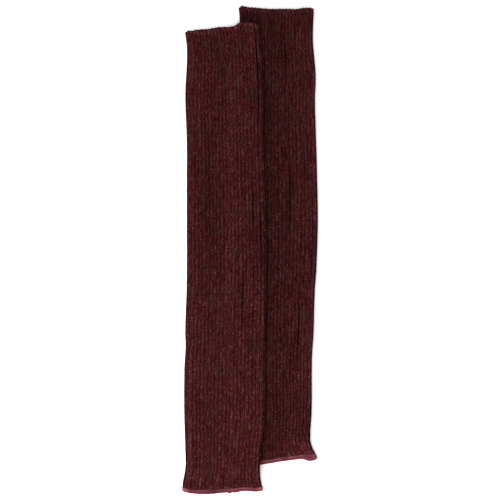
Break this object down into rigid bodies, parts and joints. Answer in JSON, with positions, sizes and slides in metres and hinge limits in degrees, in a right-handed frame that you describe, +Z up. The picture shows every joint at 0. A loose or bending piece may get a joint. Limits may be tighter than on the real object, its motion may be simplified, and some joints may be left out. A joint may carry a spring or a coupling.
{
  "type": "pair of leg warmers",
  "caption": "Long rib knit tubes open at both ends, worn over the calf and knee, laid flat with one partly on the other.",
  "frame": {"origin": "centre of the pair's bounding box in plan, on the surface that both leg warmers lie on", "axes": "+Z up from the surface, +Y along the tubes from the banded hems to the plain top edges, +X across them from the upper leg warmer to the lower one"},
  "size_m": [0.175, 0.6299, 0.0122],
  "materials": {
    "marled_rib_knit": "marled wool twist of near-black and burgundy plies in 1x1 rib, matt with a soft nap",
    "raspberry_yarn": "solid raspberry wool cast-on band in plain knit, matt"
  },
  "bodies": {
    "root": {"upper_leg_tube": "marled_rib_knit", "upper_leg_hem": "raspberry_yarn", "lower_leg_tube": "marled_rib_knit", "lower_leg_hem": "raspberry_yarn"}
  },
  "joints": []
}
